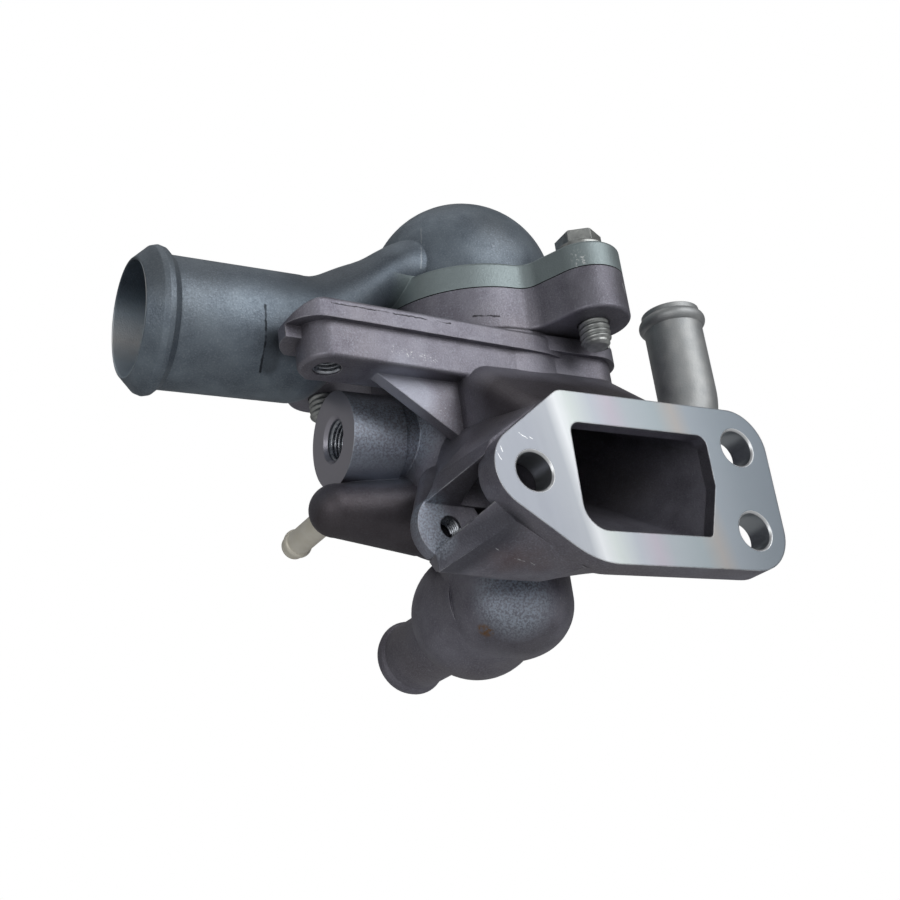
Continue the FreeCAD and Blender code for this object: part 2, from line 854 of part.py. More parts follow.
def cover_bolts():
    """Three hexagon bolts with a flange under the head, which hold the cover down."""
    bolts = []
    for place in ear_places:
        seat = ear_centre(place, cover_top)
        corner = bolt_head_flats / math.sqrt(3)
        points = []
        for step in range(7):
            turn = math.radians(60 * step + bolt_head_turn)
            points.append(seat + V(corner * math.cos(turn), corner * math.sin(turn), 0))
        head = Part.Face(Part.makePolygon(points)).extrude(UP * bolt_head_height)
        dome = Part.makeCone(corner + bolt_head_height - bolt_head_chamfer, corner - bolt_head_chamfer,
                             bolt_head_height, seat, UP)
        rim = Part.makeCylinder(bolt_flange_radius, bolt_flange_rim, seat, UP)
        slope = Part.makeCone(bolt_flange_radius, bolt_flange_top_radius,
                              bolt_flange_height - bolt_flange_rim, seat + UP * bolt_flange_rim, UP)
        end = seat - UP * bolt_length
        shank = Part.makeCylinder(bolt_radius, bolt_length + cut_past - bolt_end_chamfer,
                                  end + UP * bolt_end_chamfer, UP)
        point = Part.makeCone(bolt_radius - bolt_end_chamfer, bolt_radius, bolt_end_chamfer, end, UP)
        bolts.append(fused([head.common(dome), rim, slope, shank, point]))
    return Part.makeCompound([only_solid(bolt) for bolt in bolts])


# Pipes

def pipe_along(path, radius, bore):
    """Round tube along a path that starts along X or Y."""
    start = path.Edges[0].Vertexes[0].Point
    heading = path.Edges[0].tangentAt(path.Edges[0].FirstParameter)
    solids = []
    for size in (radius, bore):
        circle = Part.Wire([Part.Circle(start, heading, size).toShape()])
        solids.append(path.makePipeShell([circle], True, False))
    return solids[0].cut(solids[1])


def heater_pipe():
    """Bent steel pipe that leaves the column to the right and turns up."""
    heading = heater_heading()
    start = on_axis(heater_z) + heading * (heater_boss_reach - heater_insertion)
    foot = V(heater_x, heater_y, heater_z)
    bend_start = foot - heading * heater_bend_radius
    bend_top = foot + UP * heater_bend_radius
    inset = heater_bend_radius * (1 - math.sqrt(0.5))
    middle = foot - heading * inset + UP * inset
    path = Part.Wire([
        Part.makeLine(start, bend_start),
        Part.Arc(bend_start, middle, bend_top).toShape(),
        Part.makeLine(bend_top, V(heater_x, heater_y, heater_top_z)),
    ])
    tube = pipe_along(path, heater_radius, heater_radius - heater_wall)
    bead_place = V(heater_x, heater_y, heater_bead_z)
    bead_ring = heater_radius + heater_bead_height - heater_bead_round
    bead = Part.makeTorus(bead_ring, heater_bead_round, bead_place, UP)
    inside = Part.makeCylinder(heater_radius - heater_wall / 2, 4 * heater_bead_round,
                               bead_place - UP * 2 * heater_bead_round, UP)
    return only_solid(tube.fuse(bead.cut(inside)))


def return_pipe():
    """Small straight pipe that leaves the return boss to the back."""
    start = V(return_end_x, axis_y + return_drill_radius + 0.4, return_z)
    tube = Part.makeCylinder(return_pipe_radius, return_pipe_length, start, BACK)
    bore = Part.makeCylinder(return_pipe_bore, return_pipe_length, start, BACK)
    bead_at = start + BACK * (return_pipe_length - 3.0)
    bead = Part.makeTorus(return_pipe_radius - 0.6, 0.6 + return_pipe_bead, bead_at, BACK)
    inside = Part.makeCylinder(return_pipe_radius - 0.3, 6, bead_at - BACK * 3, BACK)
    return only_solid(tube.cut(bore).fuse(bead.cut(inside)))


# Regulator insert

def seal_ring():
    """Rubber ring that wraps the rim of the seat plate."""
    top = joint_z - seal_gap
    bottom = joint_z - counterbore_depth + seal_gap
    whole = ring(seal_outer_radius, seal_inner_radius, bottom, top)
    groove = disc(plate_radius + seal_gap, plate_bottom - seal_gap, plate_top + seal_gap)
    return only_solid(whole.cut(groove))


def seat_plate():
    """Pressed plate with the valve seat as a collar round its opening."""
    inner = valve_seat_radius
    plate = turned([
        (inner, plate_bottom),
        (plate_radius, plate_bottom),
        (plate_radius, plate_top),
        (inner + plate_thickness, plate_top),
        (inner + plate_thickness, plate_bottom + seat_collar_height),
        (inner, plate_bottom + seat_collar_height),
    ])
    hole = Part.makeCylinder(jiggle_radius + 0.3, 4, jiggle_place(plate_bottom - 1), UP)
    return only_solid(plate.cut(hole))


def jiggle_place(z):
    """Place of the vent pin in the seat plate, clear of the bridge and the stirrup."""
    turn = math.radians(jiggle_angle)
    return V(axis_x + jiggle_place_radius * math.cos(turn), axis_y + jiggle_place_radius * math.sin(turn), z)


def jiggle_pin():
    """Loose pin with a head above and a bulb below the seat plate."""
    head_bottom = plate_top + sliding_clearance
    head = Part.makeCylinder(jiggle_head_radius - 0.2, 1.0, jiggle_place(head_bottom), UP)
    bulb_top = plate_bottom - sliding_clearance - jiggle_lift
    stem = Part.makeCylinder(jiggle_radius, head_bottom - bulb_top + 1, jiggle_place(bulb_top - 0.5), UP)
    weight = Part.makeCone(jiggle_radius, jiggle_head_radius, 2.0, jiggle_place(bulb_top - 2.0), UP)
    return fused([head, stem, weight])


def strap(points):
    """Bent strap across the axis from (radius, height) points along its outer face, mirrored."""
    half = [V(radius, 0, height) for radius, height in points]
    mirrored = [V(-p.x, 0, p.z) for p in reversed(half)]
    profile = half + mirrored
    face = Part.Face(Part.makePolygon(profile + [profile[0]]))
    slab = face.extrude(BACK * strap_width)
    slab.translate(V(axis_x, axis_y - strap_width / 2, 0))
    return slab


def upper_bridge():
    """Arch over the valve that holds the tip of the fixed pin."""
    foot = bridge_foot_radius
    crown = joint_z + bridge_height
    t = strap_thickness
    outer = [(foot, plate_top), (foot - 2.2, crown - 6), (bridge_cup_radius, crown)]
    inner = [(bridge_cup_radius, crown - t), (foot - 2.2 - t, crown - 6 - t / 2), (foot - t, plate_top)]
    arch = strap(outer).cut(strap([(r, z) for r, z in reversed(inner)]))
    cup = disc(bridge_cup_radius, crown - t - 1.5, crown - t - 1.5 + bridge_cup_height)
    socket = disc(pin_radius + sliding_clearance, crown - 6, crown)
    return only_solid(fused([arch, cup]).cut(socket))


def lower_stirrup():
    """Stirrup hung from the seat plate that carries the main spring and guides the capsule."""
    t = strap_thickness
    leg = stirrup_leg_radius
    outer = [(leg, plate_bottom), (leg, stirrup_top), (leg - 3, stirrup_top - t)]
    inner = [(leg - 3, stirrup_top), (leg - t, stirrup_top + 1.4), (leg - t, plate_bottom)]
    frame = strap(outer).cut(strap([(r, z) for r, z in reversed(inner)]))
    frame.rotate(on_axis(0), UP, 90)
    tray = disc(stirrup_ring_radius, stirrup_top - t, stirrup_top)
    guide = disc(capsule_radius + sliding_clearance, stirrup_top - 5, stirrup_top + 5)
    return only_solid(fused([frame, tray]).cut(guide))


def piston_pin():
    """Fixed pin between the bridge and the capsule."""
    top = joint_z + bridge_height - sliding_clearance
    return disc(pin_radius, joint_z - pin_depth, top)


def wax_capsule():
    """Brass capsule with its bore for the pin, its shoulder and its stem."""
    shoulder_bottom = valve_bottom - capsule_shoulder_height
    bore = pin_radius + sliding_clearance
    bore_end = joint_z - pin_depth - sliding_clearance
    return turned([
        (0, joint_z - stem_end),
        (stem_radius, joint_z - stem_end),
        (stem_radius, capsule_foot_z),
        (capsule_radius - 1.5, capsule_foot_z),
        (capsule_radius, capsule_foot_z + 1.5),
        (capsule_radius, shoulder_bottom),
        (capsule_shoulder_radius, shoulder_bottom + 1.8),
        (capsule_shoulder_radius, valve_bottom),
        (capsule_neck_radius, valve_bottom),
        (capsule_neck_radius, joint_z + capsule_neck_height - 0.8),
        (capsule_neck_radius - 0.8, joint_z + capsule_neck_height),
        (bore, joint_z + capsule_neck_height),
        (bore, bore_end),
        (0, bore_end),
    ])


def valve_plate():
    """Main valve: a dished plate on the capsule's neck that closes up against the seat."""
    hole = capsule_neck_radius + sliding_clearance
    return turned([
        (hole, valve_bottom),
        (valve_radius, valve_bottom),
        (valve_radius, valve_top),
        (valve_seat_radius - 0.8, valve_top),
        (valve_seat_radius - 2.6, valve_top + 0.9),
        (valve_seat_radius - 4.4, valve_top),
        (hole, valve_top),
    ])


def lock_ring():
    """Ring that holds the main valve on the capsule."""
    hole = capsule_neck_radius + sliding_clearance
    return ring(lock_ring_radius, hole, valve_top, valve_top + lock_ring_thickness)


def coil(radius, wire, turns, bottom, top):
    """Spring in short straight steps, with a many-sided wire, standing on the axis between two heights."""
    rise = top - bottom - 2 * wire
    slope = math.atan2(rise / turns, 2 * math.pi * radius)
    steps = math.ceil(turns * coil_steps)
    sections = []
    for step in range(steps + 1):
        turn = 2 * math.pi * turns * step / steps
        out = V(math.cos(turn), math.sin(turn), 0)
        along = V(-math.sin(turn), math.cos(turn), 0) * math.cos(slope) + UP * math.sin(slope)
        across = out.cross(along)
        centre = on_axis(bottom + wire + rise * step / steps) + out * radius
        points = []
        for side in range(coil_sides):
            angle = 2 * math.pi * (side + 0.5) / coil_sides
            points.append(centre + (out * math.cos(angle) + across * math.sin(angle)) * wire)
        sections.append(Part.makePolygon(points + [points[0]]))
    return Part.makeLoft(sections, True, True)


def main_spring():
    return coil(main_spring_radius, main_spring_wire_radius, main_spring_turns, stirrup_top + spring_gap,
                valve_bottom - spring_gap)


def bypass_disc():
    """Bypass valve that slides on the capsule's stem."""
    hole = stem_radius + sliding_clearance
    return turned([
        (hole, disc_bottom),
        (bypass_disc_radius, disc_bottom),
        (bypass_disc_radius, disc_top),
        (bypass_spring_radius + 2, disc_top),
        (hole, disc_top),
    ])


def bypass_spring():
    return coil(bypass_spring_radius, bypass_spring_wire_radius, bypass_spring_turns, disc_top + spring_gap,
                capsule_foot_z - spring_gap)


def retainer_clip():
    """Clip on the end of the stem that keeps the bypass valve on."""
    hole = stem_radius + sliding_clearance
    top = disc_bottom - sliding_clearance
    return ring(clip_radius, hole, top - clip_thickness, top)


pieces = {
    "housing_body": housing_body,
    "outlet_cover": outlet_cover,
    "cover_bolts": cover_bolts,
    "heater_pipe": heater_pipe,
    "return_pipe": return_pipe,
    "seal_ring": seal_ring,
    "seat_plate": seat_plate,
    "jiggle_pin": jiggle_pin,
    "upper_bridge": upper_bridge,
    "lower_stirrup": lower_stirrup,
    "piston_pin": piston_pin,
    "wax_capsule": wax_capsule,
    "valve_plate": valve_plate,
    "lock_ring": lock_ring,
    "main_spring": main_spring,
    "bypass_disc": bypass_disc,
    "bypass_spring": bypass_spring,
    "retainer_clip": retainer_clip,
}

os.makedirs("parts", exist_ok=True)
for name, make in pieces.items():
    shape = make()
    print(name, "solids", len(shape.Solids), "valid", shape.isValid(), "volume", round(shape.Volume, 1))
    shape.exportStep("parts/" + name + ".step")
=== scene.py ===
import math

import bmesh
import bpy
from mathutils import Matrix, Quaternion, Vector
from mathutils.kdtree import KDTree


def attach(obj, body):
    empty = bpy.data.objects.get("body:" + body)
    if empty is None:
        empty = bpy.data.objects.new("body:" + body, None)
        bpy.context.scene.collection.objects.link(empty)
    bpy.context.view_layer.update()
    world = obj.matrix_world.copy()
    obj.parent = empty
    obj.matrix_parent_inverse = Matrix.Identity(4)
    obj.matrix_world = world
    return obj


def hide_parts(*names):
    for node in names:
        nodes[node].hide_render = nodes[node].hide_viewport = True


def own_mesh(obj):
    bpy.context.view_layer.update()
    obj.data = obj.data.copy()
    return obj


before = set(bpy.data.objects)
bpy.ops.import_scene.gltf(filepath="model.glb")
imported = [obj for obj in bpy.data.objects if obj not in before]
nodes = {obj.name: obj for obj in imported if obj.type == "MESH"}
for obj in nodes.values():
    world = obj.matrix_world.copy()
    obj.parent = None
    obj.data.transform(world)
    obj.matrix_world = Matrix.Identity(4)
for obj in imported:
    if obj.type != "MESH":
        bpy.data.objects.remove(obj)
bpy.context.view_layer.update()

# Housing body
# The real body is one aluminium sand casting, dull and a little purple and brown with age, bolted on by its
# inlet flange. The flange, the face of the sensor boss and the bolt holes are machined bright, and handling
# has knocked the raw edges bright.


def linear(code):
    """Linear colour of an sRGB hex code."""
    channels = []
    for start in (1, 3, 5):
        value = int(code[start:start + 2], 16) / 255
        channels.append(value / 12.92 if value <= 0.04045 else ((value + 0.055) / 1.055) ** 2.4)
    return (*channels, 1.0)


def add(tree, kind, sockets=(), **settings):
    """Adds a node with its settings. A socket gets a value, an sRGB hex code or another node's output."""
    node = tree.nodes.new(kind)
    for name, setting in settings.items():
        setattr(node, name, setting)
    for socket, source in dict(sockets).items():
        if isinstance(source, bpy.types.NodeSocket):
            tree.links.new(source, node.inputs[socket])
        else:
            node.inputs[socket].default_value = linear(source) if isinstance(source, str) else source
    return node


def new_material(name, metallic, roughness):
    """A material's tree and Principled shader, and the object's own coordinates to lay its pattern on."""
    material = bpy.data.materials.new(name)
    material.use_nodes = True
    tree = material.node_tree
    shader = tree.nodes["Principled BSDF"]
    shader.inputs["Metallic"].default_value = metallic
    shader.inputs["Roughness"].default_value = roughness
    place = add(tree, "ShaderNodeTexCoord").outputs["Object"]
    return material, tree, shader, place


def finish_node(name, material):
    """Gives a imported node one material."""
    for slot in nodes[name].material_slots:
        slot.material = material


def overlap(tree, *masks):
    """1 where all the masks are 1. A number among them is a strength."""
    shared = masks[0]
    for mask in masks[1:]:
        shared = add(tree, "ShaderNodeMath", {0: shared, 1: mask}, operation="MULTIPLY",
                     use_clamp=True).outputs[0]
    return shared


def either(tree, *masks):
    """1 where any of the masks is 1."""
    joined = masks[0]
    for mask in masks[1:]:
        joined = add(tree, "ShaderNodeMath", {0: joined, 1: mask}, operation="MAXIMUM",
                     use_clamp=True).outputs[0]
    return joined


def blended(tree, first, second, *masks):
    """Goes from first to second, each a hex code or an output, as far as the masks overlap."""
    return add(tree, "ShaderNodeMix", {"Factor": overlap(tree, *masks), 6: first, 7: second},
               data_type="RGBA").outputs[2]


def noise(tree, place, size_mm, low=0.3, high=0.7, detail=3.0):
    """Noise whose lumps have a real size, spread between two thresholds."""
    lumps = add(tree, "ShaderNodeTexNoise", {"Scale": 1000 / size_mm, "Detail": detail, "Vector": place})
    return add(tree, "ShaderNodeMapRange", {"Value": lumps.outputs[0], "From Min": low,
                                            "From Max": high}).outputs[0]


def wandering(tree, place, size_mm, amount_mm):
    """Coordinates that wander to and fro, for marks with ragged sides."""
    lumps = add(tree, "ShaderNodeTexNoise", {"Scale": 1000 / size_mm, "Detail": 2.0, "Vector": place})
    centred = add(tree, "ShaderNodeVectorMath", {0: lumps.outputs["Color"], 1: (0.5, 0.5, 0.5)},
                  operation="SUBTRACT")
    moved = add(tree, "ShaderNodeVectorMath", {0: centred.outputs[0], "Scale": 2 * amount_mm / 1000},
                operation="SCALE")
    return add(tree, "ShaderNodeVectorMath", {0: place, 1: moved.outputs[0]}, operation="ADD").outputs[0]


def mark(tree, place, start_mm, end_mm, half_width_mm):
    """1 along a straight mark between two points, soft at its sides and 0 away from it."""
    start = Vector(start_mm) / 1000
    way = Vector(end_mm) / 1000 - start
    from_start = add(tree, "ShaderNodeVectorMath", {0: place, 1: start}, operation="SUBTRACT").outputs[0]
    along = add(tree, "ShaderNodeVectorMath", {0: from_start, 1: way / way.length_squared},
                operation="DOT_PRODUCT").outputs["Value"]
    share = add(tree, "ShaderNodeClamp", {"Value": along}).outputs[0]
    nearest = add(tree, "ShaderNodeVectorMath", {0: way, "Scale": share}, operation="SCALE").outputs[0]
    apart = add(tree, "ShaderNodeVectorMath", {0: from_start, 1: nearest},
                operation="DISTANCE").outputs["Value"]
    return add(tree, "ShaderNodeMapRange", {"Value": apart, "From Min": half_width_mm / 2000,
                                            "From Max": half_width_mm / 1000, "To Min": 1.0,
                                            "To Max": 0.0}).outputs[0]


def in_bore(tree, place, across, centre_mm, radius_mm):
    """1 inside a round bore. across keeps the two directions that are square to its axis."""
    flat = add(tree, "ShaderNodeVectorMath", {0: place, 1: across}, operation="MULTIPLY").outputs[0]
    apart = add(tree, "ShaderNodeVectorMath", {0: flat, 1: Vector(centre_mm) / 1000},
                operation="DISTANCE").outputs["Value"]
    return add(tree, "ShaderNodeMath", {0: apart, 1: radius_mm / 1000}, operation="LESS_THAN").outputs[0]


def banded(tree, value, low_mm, high_mm, stops):
    """Colour along a coordinate between two places, by stops of share and hex code."""
    share = add(tree, "ShaderNodeMapRange", {"Value": value, "From Min": low_mm / 1000,
                                             "From Max": high_mm / 1000}).outputs[0]
    bands = add(tree, "ShaderNodeValToRGB", {"Fac": share})
    elements = bands.color_ramp.elements
    while len(elements) < len(stops):
        elements.new(0.5)
    for element, (position, code) in zip(elements, stops):
        element.position = position
        element.color = linear(code)
    return bands.outputs["Color"]


def worn_edge(tree, radius_mm):
    """1 along sharp edges, found where a rounded normal leaves the flat one, and that rounded normal."""
    rounded = add(tree, "ShaderNodeBevel", {"Radius": radius_mm / 1000}, samples=6).outputs[0]
    flat = add(tree, "ShaderNodeNewGeometry").outputs["Normal"]
    alike = add(tree, "ShaderNodeVectorMath", {0: rounded, 1: flat}, operation="DOT_PRODUCT").outputs["Value"]
    edge = add(tree, "ShaderNodeMapRange", {"Value": alike, "From Min": 0.80, "From Max": 0.96, "To Min": 1.0,
                                            "To Max": 0.0}).outputs[0]
    return edge, rounded


def cast_skin(tree, place, dark, light, stain_and_shade):
    """Sand-cast skin of grain, soft clouds, stains and specks, with painted shade in its creases.

    Gives its colour, roughness and height, and a mask that is 0 in the creases. The grain is drawn at
    0.4 mm, a little coarser than the sand's, so that it shows.
    """
    grain = noise(tree, place, 0.40)
    clouds = noise(tree, place, 6.0, 0.32, 0.68, 6.0)
    stains = noise(tree, place, 24.0, 0.48, 0.72, 4.0)
    glints = noise(tree, place, 0.45, 0.52, 0.74)
    colour = blended(tree, dark, light, clouds)
    colour = blended(tree, colour, stain_and_shade, stains, 0.55)
    colour = blended(tree, colour, light, grain, 0.45)
    colour = blended(tree, colour, "#b4bcc8", glints, 0.30)
    colour = blended(tree, colour, "#c9ccd2", noise(tree, place, 0.8, 0.66, 0.72),
                     noise(tree, place, 11.0, 0.50, 0.62), 0.30)
    # Painted shade: the colour darkens where little of the sky is open, in creases and hollows
    open_sky = add(tree, "ShaderNodeAmbientOcclusion", {"Distance": 0.007}, samples=6).outputs["AO"]
    crease_shade = add(tree, "ShaderNodeMapRange", {"Value": open_sky, "From Min": 0.30, "From Max": 0.90,
                                              "To Min": 0.65, "To Max": 0.0}).outputs[0]
    free = add(tree, "ShaderNodeMapRange", {"Value": open_sky, "From Min": 0.80, "From Max": 0.97}).outputs[0]
    colour = blended(tree, colour, "#2d2a2b", crease_shade)
    roughness = add(tree, "ShaderNodeMapRange", {"Value": grain, "To Min": 0.56, "To Max": 0.44}).outputs[0]
    height = add(tree, "ShaderNodeMix", {"Factor": 0.5, 2: grain, 3: noise(tree, place, 3.0)},
                 data_type="FLOAT").outputs[0]
    return colour, roughness, height, free


def finish_metal(tree, shader, colour, roughness, height, normal, depth_mm):
    """Links a metal's colour, roughness and relief to its shader."""
    bump = add(tree, "ShaderNodeBump", {"Strength": 1.0, "Distance": depth_mm / 1000, "Height": height,
                                        "Normal": normal})
    tree.links.new(colour, shader.inputs["Base Color"])
    tree.links.new(roughness, shader.inputs["Roughness"])
    tree.links.new(bump.outputs[0], shader.inputs["Normal"])


body_cast, tree, shader, place = new_material("sand_cast_aluminium_body", 0.85, 0.5)
x, y, z = add(tree, "ShaderNodeSeparateXYZ", {0: place}).outputs
colour, roughness, height, free = cast_skin(tree, place, "#77747f", "#94939e", "#6b615f")

# Darker and paler places of the skin: soot, and painted light and shade on the web's side, the rib, the foot
# of the sensor boss, the right ear and the bulb. Each row has a colour, its strength, and the middle lines of
# its patches with their half widths in mm.
for stain_and_shade, strength, *lines in (
    # Soot on the return boss and on the duct
    ("#423b3b", 0.75, ((-52, 50, 5), (-36, 50, 5), 13), ((-34, 12, 26), (8, 12, 34), 15)),
    # Painted shade on the web's side
    ("#3d4048", 0.60, ((-43.2, 16.7, -15.0), (-34.0, 8.0, -8.0), 6.5)),
    # The front of the arm and the column
    ("#b9b7c2", 0.15, ((-50, 25, 46), (-6, 26, 44), 13)),
    # Painted light on the rib under the arm
    ("#c2c6d4", 0.50, ((-40.1, 30.0, 30.8), (-45.0, 30.0, 35.0), 7)),
    # Painted light on the foot of the sensor boss
    ("#9fa9b9", 0.45, ((-49.0, 47.2, 18.3), (-38.0, 47.2, 18.3), 5)),
    # Painted shade on the right ear and the lower bulb
    ("#3a3839", 0.30, ((6, 12, 57), (17, 22, 57), 10), ((-18, 45, -25), (-8, 45, -25), 9)),
):
    patches = [mark(tree, place, *line) for line in lines]
    colour = blended(tree, colour, stain_and_shade, either(tree, *patches), strength)

# The middle of the web is browner, in patches
colour = blended(tree, colour, "#7a6460", mark(tree, place, (-33, 14, -16), (-27, 12, -16), 6),
                 noise(tree, place, 7.0), 0.45)

# Painted grainy highlights on the boss's side, the bulb and the lug's face
painted_highlight = either(tree, mark(tree, place, (-50, 42, 27), (-38, 42, 27), 11),
              mark(tree, place, (-15, 40, -15), (-13, 40, -16), 11),
              mark(tree, place, (-46.5, 20, -3), (-44.0, 20, -9), 6))
grains = add(tree, "ShaderNodeMapRange", {"Value": noise(tree, place, 0.5, 0.40, 0.60),
                                          "To Min": 0.25}).outputs[0]
colour = blended(tree, colour, "#bcc7d6", painted_highlight, grains, 0.85)

# Edges that handling has knocked bright, but not in the creases
edge, rounded = worn_edge(tree, 0.45)
open_edge = overlap(tree, edge, free)
colour = blended(tree, colour, "#d3d6da", open_edge, noise(tree, place, 2.5, 0.40, 0.56), 0.85)

# The cover's joint shows as a thin dark line round the top of the body
seam = add(tree, "ShaderNodeMath", {0: z, 1: 0.06265}, operation="GREATER_THAN").outputs[0]
colour = blended(tree, colour, "#26262a", seam)

# Cracks of flash under the arm's upper edge, a fold in the skin below the cover and a rust spot on the bulb
ragged = wandering(tree, place, 1.6, 0.35)
cracks = overlap(tree, mark(tree, ragged, (-63, 22.8, 48.3), (-31, 24.4, 48.3), 0.22),
                 noise(tree, place, 5.0, 0.42, 0.50))
skin_fold = mark(tree, ragged, (-20.5, 29.8, 54.7), (-14.5, 27.2, 54.3), 0.35)
colour = blended(tree, colour, "#2b2a2e", either(tree, cracks, skin_fold), 0.85)
rust_spot = mark(tree, ragged, (-19.2, 47.7, -21.2), (-18.2, 47.5, -21.6), 1.9)
colour = blended(tree, colour, "#86602a", rust_spot, noise(tree, place, 0.9, 0.35, 0.6), 0.80)

# Bright scuffs along the arm's foot, and scratches on the right ear and on the web under the flange
scuffs = overlap(tree, mark(tree, ragged, (-47, 25, 39.3), (-36, 25.5, 38.3), 1.3),
                 noise(tree, place, 0.5, 0.58, 0.68))
scratches = [mark(tree, ragged, start, end, half_width) for start, end, half_width in (
    ((13.2, 11.0, 59.0), (13.9, 11.4, 56.8), 0.35),
    ((-36.6, 11.2, -13.4), (-34.8, 11.7, -14.2), 0.12),
    ((-31.0, 12.2, -15.6), (-28.4, 12.2, -16.2), 0.12),
    ((-27.6, 11.6, -16.6), (-25.8, 12.4, -16.9), 0.10),
)]
colour = blended(tree, colour, "#d8dade", either(tree, scuffs, *scratches), 0.8)

# Machined places: the flange's face, the walls and chamfers of its holes, and the boss's face and mouth
flange_holes = either(tree, *(in_bore(tree, place, (1, 0, 1), (hole_x, 0, hole_z), 5.0)
                              for hole_x, hole_z in ((-30.5, 0), (28.6, 10.5), (28.6, -10.5))))
boss = in_bore(tree, place, (0, 1, 1), (0, 54, 28.5), 12.2)
sensor_hole = in_bore(tree, place, (0, 1, 1), (0, 54, 28.5), 6.2)
flange_face = add(tree, "ShaderNodeMath", {0: y, 1: 0.00002}, operation="LESS_THAN").outputs[0]
chamfer_depth = add(tree, "ShaderNodeMath", {0: y, 1: 0.00055}, operation="LESS_THAN").outputs[0]
rim_depth = add(tree, "ShaderNodeMath", {0: y, 1: 0.0012}, operation="LESS_THAN").outputs[0]
flange_depth = add(tree, "ShaderNodeMath", {0: y, 1: 0.0071}, operation="LESS_THAN").outputs[0]
boss_end = add(tree, "ShaderNodeMath", {0: x, 1: -0.05088}, operation="LESS_THAN").outputs[0]
boss_front = add(tree, "ShaderNodeMath", {0: x, 1: -0.0500}, operation="LESS_THAN").outputs[0]
sensor_depth = add(tree, "ShaderNodeMath", {0: x, 1: -0.0300}, operation="LESS_THAN").outputs[0]
hole_walls = overlap(tree, flange_holes, flange_depth)
machined = either(tree, flange_face, hole_walls, overlap(tree, boss, boss_end),
                  overlap(tree, sensor_hole, sensor_depth))

# The cutter left bands on the flange that lean, one of them bright, with a faint rainbow and fine streaks,
# which are about 0.45 mm wide and 17 mm long
leaning = add(tree, "ShaderNodeMath", {0: z, 1: 0.184, 2: x}, operation="MULTIPLY_ADD").outputs[0]
bands = banded(tree, leaning, -48.0, 38.0, (
    (0.00, "#8a8e96"), (0.22, "#8d9199"), (0.30, "#979ba1"), (0.335, "#c2c5c8"), (0.38, "#b1b8b7"),
    (0.45, "#a0a5ad"), (0.51, "#a39ea8"), (0.56, "#989fa5"), (0.66, "#929ca1"), (0.72, "#9d9a98"),
    (0.77, "#8f979f"), (0.88, "#868f97"), (1.00, "#838c95")))
across = add(tree, "ShaderNodeCombineXYZ", {"X": leaning, "Z": z}).outputs[0]
stretched = add(tree, "ShaderNodeMapping", {"Vector": across, "Scale": (2200, 1, 60)}).outputs[0]
streaks = add(tree, "ShaderNodeTexNoise", {"Scale": 1.0, "Detail": 3.0, "Vector": stretched}).outputs[0]
streaks = add(tree, "ShaderNodeMapRange", {"Value": streaks, "From Min": 0.25, "From Max": 0.75}).outputs[0]
bright = blended(tree, bands, "#8f969f", streaks, 0.06)
bright = blended(tree, bright, "#7f858d", noise(tree, place, 9.0), 0.10)

# The boss's face is duller, and a few scratches lie round the flange's left hole
bright = blended(tree, bright, "#b7b5bf", overlap(tree, boss, boss_front))
for start, end in (((-33.2, 0, 8.6), (-31.2, 0, 7.4)), ((-39.6, 0, 3.9), (-38.6, 0, 1.9)),
                   ((-38.4, 0, 5.0), (-38.1, 0, 3.6)), ((-30.6, 0, 7.9), (-29.9, 0, 7.5))):
    bright = blended(tree, bright, "#dfe1e4", mark(tree, ragged, start, end, 0.11))

# The walls of the flange's holes are paler, and their chamfers and the flange's rim are the brightest
bright = blended(tree, bright, "#c9cccf", hole_walls, 0.45)
bright = blended(tree, bright, "#eceef0", overlap(tree, flange_holes, chamfer_depth), 0.90)
colour = blended(tree, colour, bright, machined)
colour = blended(tree, colour, "#e4e6e8", open_edge, rim_depth, noise(tree, place, 3.0, 0.30, 0.55))
height = blended(tree, height, overlap(tree, streaks, 0.04), machined)
cut_shine = add(tree, "ShaderNodeMapRange", {"Value": streaks, "To Min": 0.30, "To Max": 0.36}).outputs[0]
roughness = blended(tree, roughness, cut_shine, machined)
finish_metal(tree, shader, colour, roughness, height, rounded, 0.06)
finish_node("housing_body", body_cast)

# Hose cover
# A second casting closes the housing and carries the hose spigot. It is the same aluminium, a little bluer
# and smoother because it is newer, and its flange has a greener skin where it was dressed. Three bolts hold
# it.


def marks(tree, place, points_mm, half_width_mm):
    """1 along short marks that join points one after another."""
    ends = zip(points_mm, points_mm[1:])
    return either(tree, *(mark(tree, place, start, end, half_width_mm) for start, end in ends))


cover_cast, tree, shader, place = new_material("sand_cast_aluminium_cover", 0.85, 0.5)
x, y, z = add(tree, "ShaderNodeSeparateXYZ", {0: place}).outputs
colour, roughness, height, free = cast_skin(tree, place, "#6a747f", "#8b97a2", "#686a6c")

# Painted shade darkens the neck, and the cover's flange is paler and greener
colour = blended(tree, colour, "#434a52", mark(tree, place, (-60, 42, 56), (-38, 42, 68), 15), 0.50)
flange_height = add(tree, "ShaderNodeMath", {0: z, 1: 0.0701}, operation="LESS_THAN").outputs[0]
right_of_neck = add(tree, "ShaderNodeMapRange", {"Value": x, "From Min": -0.037,
                                                 "From Max": -0.031}).outputs[0]
flange = overlap(tree, flange_height, right_of_neck)
colour = blended(tree, colour, "#9ca8a8", flange, 0.75)
edge, rounded = worn_edge(tree, 0.45)
colour = blended(tree, colour, "#c5cace", edge, free, noise(tree, place, 3.0, 0.44, 0.60), 0.6)

# A thin dark line at the joint
joint_top = add(tree, "ShaderNodeMath", {0: z, 1: 0.06295}, operation="LESS_THAN").outputs[0]
joint_foot = add(tree, "ShaderNodeMath", {0: z, 1: 0.06275}, operation="GREATER_THAN").outputs[0]
colour = blended(tree, colour, "#26282a", joint_top, joint_foot, flange)
